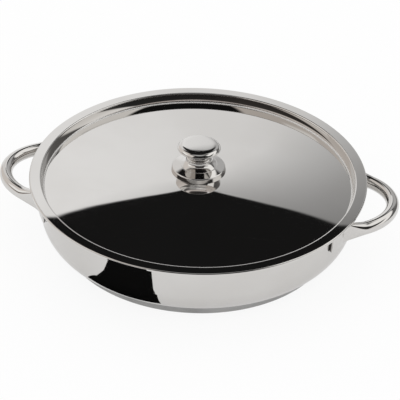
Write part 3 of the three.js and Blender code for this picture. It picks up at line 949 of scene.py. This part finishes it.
def crease_arc(size, wall_top):
    """Rounding from the recess's wall into the panel."""
    floor = size.flange - size.recess_depth
    lean = size.recess_draft + size.wall_hollow
    start = floor + size.crease * (1 - math.sin(lean))
    foot = wall_top.x - (wall_top.y - start) * sum(wall_slopes(size)) / 2
    centre = (foot - size.crease * math.cos(lean), floor + size.crease)
    return arc(centre, size.crease, -lean, -math.pi / 2)


def recess_wall(size, top, foot):
    """Slightly hollow wall of the recess, between its two roundings."""
    steep, flat = wall_slopes(size)
    line = []
    for i in range(1, WALL_STEPS):
        t = i / WALL_STEPS
        drop = (top.y - foot.y) * t
        line.append(at(top.x - drop * (steep + (flat - steep) * t / 2), top.y - drop))
    return line


def panel_height(size, r, edge):
    """Height of the panel's upper face at a radius."""
    round_top = size.panel_round * (1 + math.cos(math.pi * r / edge)) / 2
    cone_top = size.panel_cone * (1 - r / edge) ** 2
    return size.flange - size.recess_depth + size.panel_rise * (round_top + cone_top)


def lid_outline(size):
    """Rolled edge, flange, recess and almost flat panel, down to the screw's hole."""
    top = size.flange
    skirt = at(size.radius, top - size.edge - size.skirt)
    roll = arc((size.radius - size.edge, top - size.edge), size.edge, 0.0, math.pi / 2)
    shoulder = shoulder_arc(size)
    crease = crease_arc(size, shoulder[-1])
    wall = recess_wall(size, shoulder[-1], crease[0])
    edge = crease[-1].x
    panel = []
    for i in range(1, PANEL_STEPS + 1):
        r = edge + (size.hole - edge) * i / PANEL_STEPS
        panel.append(at(r, panel_height(size, r, edge)))
    return sheet([skirt] + roll + shoulder + wall + crease + panel, size.sheet)


# Knob and fasteners

GUARD_TURN = (math.radians(10), math.radians(75))
BEAD_TURN = math.radians(60)
HEAD_RIM_TURN = math.radians(-50)


def heights(node):
    """Lowest and highest point of a node."""
    low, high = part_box(node)
    return low.z, high.z


def stud_hole(size):
    """Radius of the hole for the stud."""
    return size.stud + chosen("body").seat


def flare(wide, narrow, start=0.0, end=1.0, steps=FLARE_STEPS):
    """Concave line between two points, level at the wide one and upright at the narrow one."""
    line = []
    for i in range(steps + 1):
        t = start + (end - start) * i / steps
        r = narrow.x + (wide.x - narrow.x) * (1 - t) ** 2
        line.append(at(r, wide.y + (narrow.y - wide.y) * t))
    return line


def foot_outline(size):
    """Flared foot that stands on the lid and carries the guard."""
    low, high = heights("knob_foot")
    line = flare(at(size.foot, low), at(size.foot_top, high))
    inside = [at(p.x - size.sheet, p.y) for p in line]
    return eased(line + inside[::-1], size.ease)


def guard_edge(size):
    """Rounding of the guard's rim, which ends where the flare begins."""
    low, _ = heights("knob_guard")
    centre = (size.guard - size.guard_lean - size.guard_edge, low + size.guard_rim - size.guard_edge)
    return arc(centre, size.guard_edge, *GUARD_TURN)


def stem_neck(size):
    """Upper end of the flare that guard and stem share."""
    return at(size.neck, heights("knob_stem")[1])


def guard_outline(size):
    """Finger guard: upright rim, flare up to the stem, and a plate under the stem."""
    edge = guard_edge(size)
    share_at_stem = 1 - math.sqrt((size.stem - size.neck) / (edge[-1].x - size.neck))
    rise = flare(edge[-1], stem_neck(size), 0.0, share_at_stem, GUARD_STEPS)
    line = [at(size.guard, heights("knob_guard")[0])] + edge + rise[1:]
    line.append(at(stud_hole(size), rise[-1].y))
    return eased(sheet(line, size.sheet), size.ease)


def stem_outline(size):
    """Hollow stem that goes on with the flare to a closed neck."""
    low, high = heights("knob_stem")
    low -= chosen("body").seat - HAIRLINE
    begin = guard_edge(size)[-1]
    outside = flare(begin, stem_neck(size), (low - begin.y) / (high - begin.y))
    ceiling = high - size.sheet
    inside = [at(p.x, min(max(p.y, low), ceiling)) for p in offset(outside, size.sheet)]
    plate = [at(stud_hole(size), high), at(stud_hole(size), ceiling)]
    return eased(outside + plate + inside[::-1], HAIRLINE)


def collar_outline(size):
    """Two beads with a groove between them."""
    low, high = heights("knob_collar")
    bead = (high - low) / 4
    middle = size.collar - bead
    lower = arc((middle, low + bead), bead, -math.pi / 2, BEAD_TURN)
    groove = [at(size.collar - size.collar_groove, low + 2 * bead)]
    upper = arc((middle, low + 3 * bead), bead, -BEAD_TURN, math.pi / 2)
    return [at(stud_hole(size), low)] + lower + groove + upper + [at(stud_hole(size), high)]


def head_outline(size):
    """Hollow head: flared underside, rounded rim, flat top that falls off to the rim."""
    low, high = heights("knob_head")
    rim_top = high - size.head_crown
    rim = (size.head - size.head_rim / 2, rim_top - size.head_rim / 2)
    crown = []
    for i in range(1, CROWN_STEPS + 1):
        t = math.cos(math.pi / 2 * i / CROWN_STEPS) if i < CROWN_STEPS else 0.0
        fall = (1 - size.head_edge) * t ** 2 + size.head_edge * t ** size.head_flatness
        crown.append(at(rim[0] * t, rim_top + size.head_crown * (1 - fall)))
    under = [at(size.head_neck, low)] + arc(rim, size.head_rim / 2, HEAD_RIM_TURN, math.pi / 2)
    ceiling = rim_top - size.sheet
    inside = [at(0.0, ceiling), at(rim[0] - size.head_rim, ceiling), at(size.head_neck - size.sheet, low)]
    return under + crown + inside


def stud_outline(size):
    """Threaded stud inside the knob."""
    low, high = heights("knob_stud")
    shelf = high - size.stud_flange_height
    bore = size.screw + chosen("body").seat
    depth = heights("knob_screw")[1] + size.screw
    corners = [at(bore, low), at(size.stud, low), at(size.stud, shelf), at(size.stud_flange, shelf)]
    corners += [at(size.stud_flange, high), at(0.0, high), at(0.0, depth), at(bore, depth)]
    return eased(corners, size.fastener_ease)


def washer_outline(size):
    """Flat washer under the lid."""
    low, high = heights("knob_washer")
    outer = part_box("knob_washer")[1].x
    hole = chosen("lid").hole
    return eased([at(hole, low), at(outer, low), at(outer, high), at(hole, high)], size.fastener_ease)


def screw_outline(size):
    """Screw with a domed head under the lid."""
    low, high = heights("knob_screw")
    seat = heights("knob_washer")[0] - chosen("body").seat
    rim = seat - size.screw_edge
    dome = []
    for i in range(DOME_STEPS + 1):
        r = size.screw_head * i / DOME_STEPS
        dome.append(at(r, rim - (rim - low) * (1 - (r / size.screw_head) ** 2)))
    shank = [at(size.screw_head, seat), at(size.screw, seat), at(size.screw, high), at(0.0, high)]
    return eased(dome + shank, size.fastener_ease)


# Camera and floor

SENSOR_WIDTH = 36.0
CLIP_START = 0.05
CLIP_END = 50.0
FLOOR_HALF = 30.0
FLOOR_LEVEL = -0.0002
FLOOR_SEEN = 0.9
FLOOR_MIRRORED = 0.5
GRAIN_SCALE = 40.0
GRAIN_RANGE = (0.3, 0.7)
GRAIN_TONES = (0.985, 1.0)
# Painted shadow: a black sheet on the floor that stands for the pan's shadow, seen only in the metal.
SHADOW_SHEET_LEVEL = 0.0001
SHADOW_SHEET_TONE = (0.006, 0.006, 0.006)

# Corners of the black sheet, a painted shadow of the pan on the floor: degrees to the right of the camera,
# and distance from the axis
SHADOW_SHEET_EDGE = (
    (-13.5, 0.130), (-15.9, 0.167), (-18.2, 0.176), (-20.3, 0.196), (-24.0, 0.300),
    (-40.0, 0.300), (-42.7, 0.195), (-43.2, 0.177), (-46.3, 0.162), (-48.6, 0.136),
)


def make_camera(stage):
    """Camera at the photograph's angle."""
    data = bpy.data.cameras.new("camera")
    data.lens = stage.lens
    data.sensor_width = SENSOR_WIDTH
    data.clip_start = CLIP_START
    data.clip_end = CLIP_END
    camera = linked("camera", data)
    steps = (
        Matrix.Translation((0.0, 0.0, chosen("lid").flange)),
        Matrix.Rotation(stage.azimuth, 4, "Z"),
        Matrix.Rotation(math.pi / 2 - stage.elevation, 4, "X"),
        Matrix.Translation((0.0, 0.0, stage.distance)),
        Matrix.Rotation(stage.pan, 4, "Y"),
        Matrix.Rotation(-stage.tilt, 4, "X"),
        Matrix.Rotation(stage.roll, 4, "Z"),
    )
    stand = Matrix.Identity(4)
    for step in steps:
        stand @= step
    camera.matrix_world = stand
    bpy.context.scene.camera = camera


def floor_material(stage):
    """Pale floor that is mostly light to the camera, half to reflections, and keeps a faint shadow."""
    material, tree = new_material("pale_floor")
    tree.nodes.clear()
    grain = noise(add(tree, "ShaderNodeTexCoord")["Object"], GRAIN_SCALE)
    shade = remap(grain, *GRAIN_RANGE, *GRAIN_TONES, "LINEAR")
    paper = add(tree, "ShaderNodeBsdfDiffuse", {"Color": vector_calc(tree, "SCALE", stage.floor, shade)})
    ray = add(tree, "ShaderNodeLightPath")
    seen = ray["Is Camera Ray"] * FLOOR_SEEN
    glowing = calc("MAXIMUM", seen, ray["Is Glossy Ray"] * FLOOR_MIRRORED)
    mix = add(tree, "ShaderNodeMixShader", {0: glowing, 1: paper, 2: add(tree, "ShaderNodeEmission")})
    add(tree, "ShaderNodeOutputMaterial", {"Surface": mix})
    return material


def cloth_material():
    """Matt black sheet for the painted shadow of the pan on the floor."""
    material, tree = new_material("painted_shadow_sheet")
    shader = tree.nodes["Principled BSDF"].inputs
    shader["Base Color"].default_value = rgba(SHADOW_SHEET_TONE)
    shader["Roughness"].default_value = 1.0
    shader["Specular IOR Level"].default_value = 0.0
    return material


def flat_card(name, corners, material):
    """Flat stage card."""
    mesh = bpy.data.meshes.new(name)
    mesh.from_pydata(corners, [], [tuple(range(len(corners)))])
    mesh.materials.append(material)
    card = linked(name, mesh)
    return card


def make_floor(stage):
    """Floor, and a black sheet at the front left, a painted shadow of the pan, that shows only in the pan's
    wall.
    """
    signs = ((-1, -1), (1, -1), (1, 1), (-1, 1))
    corners = [(x * FLOOR_HALF, y * FLOOR_HALF, FLOOR_LEVEL) for x, y in signs]
    flat_card("floor", corners, floor_material(stage))
    edge = []
    for degrees, radius in SHADOW_SHEET_EDGE:
        angle = math.radians(degrees) + stage.azimuth
        edge.append(Vector((radius * math.sin(angle), -radius * math.cos(angle), SHADOW_SHEET_LEVEL)))
    # The black sheet is a painted shadow of the pan on the floor; it shows only in reflections.
    shadow_sheet = flat_card("painted_shadow_sheet", edge, cloth_material())
    shadow_sheet.visible_camera = False
    shadow_sheet.visible_diffuse = False
    shadow_sheet.visible_shadow = False


# Studio that the metal mirrors, by bearing from the far side and by height

# Tones of the backdrop by the share of a full turn
BACKDROP_TONES = (
    (0.0, (0.03, 0.028, 0.027)),
    (0.13, (0.03, 0.028, 0.027)),
    (0.16, (0.55, 0.51, 0.48)),
    (0.40, (0.70, 0.66, 0.63)),
    (0.42, (1.0, 1.0, 1.0)),
    (0.488, (1.04, 1.04, 1.04)),
    (0.505, (0.92, 0.92, 0.92)),
    (0.512, (0.76, 0.76, 0.76)),
    (0.53, (0.55, 0.55, 0.55)),
    (0.58, (0.36, 0.355, 0.35)),
    (0.63, (0.18, 0.177, 0.175)),
    (0.70, (0.13, 0.127, 0.125)),
    (0.86, (0.03, 0.03, 0.03)),
    (1.0, (0.03, 0.028, 0.027)),
)
ROOM_TONE = (0.011, 0.011, 0.011)
BACKDROP_SOFT = 0.0008
FADE_SIDE = math.radians(6)
FADE_SLOPE = 0.38
FADE_BELOW = math.radians(1.7)
FADE_DEPTH = math.radians(5.3)
FADE_LOW = 0.1

# Cards: bearing, half width, height and half height in degrees
CARD_SOFT = 0.07
BACK_LEFT = (-25.0, 14.0, 30.0, 14.0)
BACK_LEFT_TONE = (0.90, 0.89, 0.88)
BACK_RIGHT = (24.0, 13.0, 30.0, 13.0)
BACK_RIGHT_TONE = (0.55, 0.55, 0.55)
WARM_WALL = (-91.5, 54.5, 28.0, 37.0)
WARM_TONE = (0.82, 0.77, 0.73)
SIDE_BOX = (106.0, 18.0, 28.0, 32.0)
HIGH_BOX = (84.0, 37.0, 52.0, 14.0)
LEFT_BOX = (-91.0, 17.0, 34.0, 11.0)
BOX_TONE = (1.15, 1.14, 1.12)
SLANT = 1.6
SLANT_FROM = math.radians(10)

# Dark streak beside the wall, low glow behind the camera, and ceiling. Pairs are in degrees
STREAK_BEARINGS = (-146, -56)
STREAK_HALVES = (11, -2)
STREAK_ENDS = (-172, -150)
STREAK_HEIGHT = math.radians(15)
STREAK_SOFT = 0.02
STREAK_TONE = (0.05, 0.045, 0.042)
GLOW_BEARINGS = (92, 110)
GLOW_HEIGHTS = (2.5, 5.5)
GLOW_TONE = (0.62, 0.56, 0.53)
CEILING_HEIGHTS = (66, 80)
CEILING_TONE = (0.5, 0.5, 0.5)


def ramp(factor, stops):
    """Colour ramp with the given stops."""
    node = factor.tree.nodes.new("ShaderNodeValToRGB")
    feed(node.inputs[0], factor)
    elements = node.color_ramp.elements
    while len(elements) < len(stops):
        elements.new(0.5)
    for element, (position, tone) in zip(elements, stops):
        element.position = position
        element.color = rgba(tone)
    return Step(factor.tree, node.outputs)


def below(value, edge, soft):
    """Mask that is 1 below an edge and 0 above it, soft between."""
    return remap(value, edge - soft, edge + soft, 1.0, 0.0)


def backdrop(stage, azimuth, elevation):
    """White backdrop that fades towards its upper edge, and the dark room above it."""
    band = ramp(remap(azimuth, -math.pi, math.pi, 0.0, 1.0, "LINEAR"), BACKDROP_TONES)
    top = stage.backdrop_top
    under = below(elevation, top, BACKDROP_SOFT)
    aside = remap(azimuth, -FADE_SIDE, FADE_SIDE, -FADE_SIDE, FADE_SIDE, "LINEAR")
    lit = (top - elevation) - (aside * FADE_SLOPE + FADE_BELOW)
    fading = remap(lit, -FADE_DEPTH, 0.0, FADE_LOW, 1.0, "LINEAR")
    return blend(under, rgba(ROOM_TONE), vector_calc(band.tree, "SCALE", band, fading))


def card_mask(azimuth, elevation, card):
    """Mask of a soft-edged card, from its bearing and its height."""
    middle, half, height, half_height = radians(card)
    across = below(abs(azimuth - middle), half, CARD_SOFT)
    return across * below(abs(elevation - height), half_height, CARD_SOFT)


def streak_mask(azimuth, elevation):
    """Mask of the dark gap beside the left wall, which narrows towards the front."""
    half = remap(azimuth, *radians(STREAK_BEARINGS), *radians(STREAK_HALVES), "LINEAR")
    along = below(abs(elevation - STREAK_HEIGHT) - half, 0.0, STREAK_SOFT)
    return along * remap(azimuth, *radians(STREAK_ENDS), 0.0, 1.0, "LINEAR")


def box_mask(azimuth, elevation):
    """Mask of the two light boxes on the right, of which the one at the side leans."""
    slanted = azimuth + (elevation - SLANT_FROM) * SLANT
    side_box = card_mask(slanted, elevation, SIDE_BOX)
    return calc("MAXIMUM", side_box, card_mask(azimuth, elevation, HIGH_BOX))


def glow_mask(azimuth, elevation):
    """Mask of the low glow behind the camera."""
    behind = remap(abs(azimuth), *radians(GLOW_BEARINGS), 0.0, 1.0, "LINEAR")
    return behind * remap(elevation, *radians(GLOW_HEIGHTS), 1.0, 0.0)


def make_world(stage):
    """White surroundings for the camera and the floor, and the studio for the metal."""
    world = bpy.data.worlds.new("studio")
    bpy.context.scene.world = world
    world.use_nodes = True
    tree = world.node_tree
    tree.nodes.clear()
    sky = {"Vector": add(tree, "ShaderNodeTexCoord")["Generated"], "Angle": -stage.azimuth}
    axes = split(add(tree, "ShaderNodeVectorRotate", sky, rotation_type="Z_AXIS"))
    azimuth = calc("ARCTAN2", axes["X"], axes["Y"])
    elevation = calc("ARCSINE", axes["Z"])
    layers = (
        (card_mask(azimuth, elevation, BACK_LEFT), BACK_LEFT_TONE),
        (card_mask(azimuth, elevation, BACK_RIGHT), BACK_RIGHT_TONE),
        (card_mask(azimuth, elevation, WARM_WALL), WARM_TONE),
        (box_mask(azimuth, elevation), BOX_TONE),
        (streak_mask(azimuth, elevation), STREAK_TONE),
        (card_mask(azimuth, elevation, LEFT_BOX), BOX_TONE),
        (glow_mask(azimuth, elevation), GLOW_TONE),
        (remap(elevation, *radians(CEILING_HEIGHTS), 0.0, 1.0), CEILING_TONE),
    )
    tone = backdrop(stage, azimuth, elevation)
    for mask, paint in layers:
        tone = blend(mask, tone, rgba(paint))
    tone = blend(add(tree, "ShaderNodeLightPath")["Is Glossy Ray"], (1.0, 1.0, 1.0, 1.0), tone)
    light = add(tree, "ShaderNodeBackground", {"Color": tone})
    add(tree, "ShaderNodeOutputWorld", {"Surface": light})


# Operators

class RoundPanMakeBody(bpy.types.Operator):
    """Turn the drawn body of the pan"""

    bl_idname = "round_pan.body"
    bl_label = "Pan body"

    def execute(self, context):
        finish = polished("body_polish", waves=16.0, depth=0.000004)[0]
        mesh = turned_mesh("body_shell", body_outline(chosen("body")), RING_STEPS, finish)
        place("body_shell", mesh, "pan", "pan_body")
        return {"FINISHED"}


class RoundPanMakeBase(bpy.types.Operator):
    """Turn the cap and the core of the encapsulated base"""

    bl_idname = "round_pan.base"
    bl_label = "Base"

    def execute(self, context):
        size = chosen("body")
        cap = turned_mesh("base_plate", cap_outline(size), RING_STEPS, base_finish())
        place("base_plate", cap, "pan", "base_cap")
        look = {"rings": 1500.0, "depth": 0.00003, "clear": 0.36, "hazy": 0.5}
        finish = ringed("core_rolled", "aluminium", **look)[0]
        core = turned_mesh("base_disc", core_outline(size), RING_STEPS, finish)
        place("base_disc", core, "pan", "base_core")
        return {"FINISHED"}


class RoundPanMakeHandles(bpy.types.Operator):
    """Form the two loop handles along their paths"""

    bl_idname = "round_pan.handles"
    bl_label = "Handles"

    def execute(self, context):
        finish = handle_finish()
        for side, sign in (("right", 1.0), ("left", -1.0)):
            path = handle_path(chosen("body"), chosen("handles"), sign)
            mesh = grown(path, formed_tube, Sides=TUBE_SIDES, Finish=finish)
            place(f"{side}_loop", mesh, "pan", f"{side}_handle")
        return {"FINISHED"}


class RoundPanMakeLid(bpy.types.Operator):
    """Turn the flanged lid"""

    bl_idname = "round_pan.lid"
    bl_label = "Lid"

    def execute(self, context):
        mesh = turned_mesh("lid_sheet", lid_outline(chosen("lid")), RING_STEPS, lid_finish())
        place("lid_sheet", mesh, "lid", "lid")
        return {"FINISHED"}


class RoundPanMakeKnob(bpy.types.Operator):
    """Turn the pieces of the knob"""

    bl_idname = "round_pan.knob"
    bl_label = "Knob"

    def execute(self, context):
        outlines = {
            "foot": foot_outline, "guard": guard_outline, "stem": stem_outline,
            "collar": collar_outline, "head": head_outline,
        }
        finish = knob_finish()
        for part, outline in outlines.items():
            mesh = turned_mesh(f"turned_{part}", outline(chosen("knob")), KNOB_STEPS, finish)
            mirrored = part in ("stem", "head")
            place(f"turned_{part}", mesh, "lid", f"knob_{part}", mirrored)
        return {"FINISHED"}


class RoundPanMakeFasteners(bpy.types.Operator):
    """Turn the stud, the washer and the screw that hold the knob"""

    bl_idname = "round_pan.fasteners"
    bl_label = "Fasteners"

    def execute(self, context):
        size = chosen("knob")
        look = {"rings": 5000.0, "depth": 0.00001, "clear": 0.18, "hazy": 0.3}
        finish = ringed("fastener_bright", "fastener", **look)[0]
        for part, outline in (("stud", stud_outline), ("washer", washer_outline)):
            mesh = turned_mesh(f"plain_{part}", outline(size), KNOB_STEPS, finish)
            place(f"plain_{part}", mesh, "lid", f"knob_{part}", False)
        blank = turned_mesh("screw_blank", screw_outline(size), KNOB_STEPS, finish)
        arm = (size.slot_length, size.slot_width, 2 * size.slot_depth)
        bottom = (0.0, 0.0, heights("knob_screw")[0])
        screw = grown(blank, cross_recess, Size=arm, Bottom=bottom, Finish=finish)
        place("cross_screw", screw, "lid", "knob_screw", False)
        return {"FINISHED"}


class RoundPanMakeStage(bpy.types.Operator):
    """Set up the camera, the floor and the studio"""

    bl_idname = "round_pan.stage"
    bl_label = "Stage"

    def execute(self, context):
        stage = chosen("stage")
        make_camera(stage)
        make_floor(stage)
        make_world(stage)
        context.scene.view_settings.view_transform = "Standard"
        return {"FINISHED"}


MAKERS = (
    RoundPanMakeBody, RoundPanMakeBase, RoundPanMakeHandles, RoundPanMakeLid,
    RoundPanMakeKnob, RoundPanMakeFasteners, RoundPanMakeStage,
)


class RoundPanPanel(bpy.types.Panel):
    """Lists the steps that build the pan"""

    bl_idname = "VIEW3D_PT_round_pan"
    bl_label = "Round pan"
    bl_space_type = "VIEW_3D"
    bl_region_type = "UI"
    bl_category = "Round pan"

    def draw(self, context):
        for maker in MAKERS:
            self.layout.operator(maker.bl_idname, text=maker.bl_label)


GROUPS = {
    "round_pan_body": RoundPanBody,
    "round_pan_handles": RoundPanHandles,
    "round_pan_lid": RoundPanLid,
    "round_pan_knob": RoundPanKnob,
    "round_pan_finish": RoundPanFinish,
    "round_pan_stage": RoundPanStage,
}


def register():
    for item in (*GROUPS.values(), *MAKERS, RoundPanPanel):
        bpy.utils.register_class(item)
    for label, group in GROUPS.items():
        setattr(bpy.types.Scene, label, bpy.props.PointerProperty(type=group))


def unregister():
    for label in GROUPS:
        delattr(bpy.types.Scene, label)
    for item in (RoundPanPanel, *MAKERS[::-1], *list(GROUPS.values())[::-1]):
        bpy.utils.unregister_class(item)


def main():
    """Builds the pan and its stage."""
    register()
    bpy.ops.round_pan.body()
    bpy.ops.round_pan.base()
    bpy.ops.round_pan.handles()
    bpy.ops.round_pan.lid()
    bpy.ops.round_pan.knob()
    bpy.ops.round_pan.fasteners()
    bpy.ops.round_pan.stage()


if __name__ == "__main__":
    main()
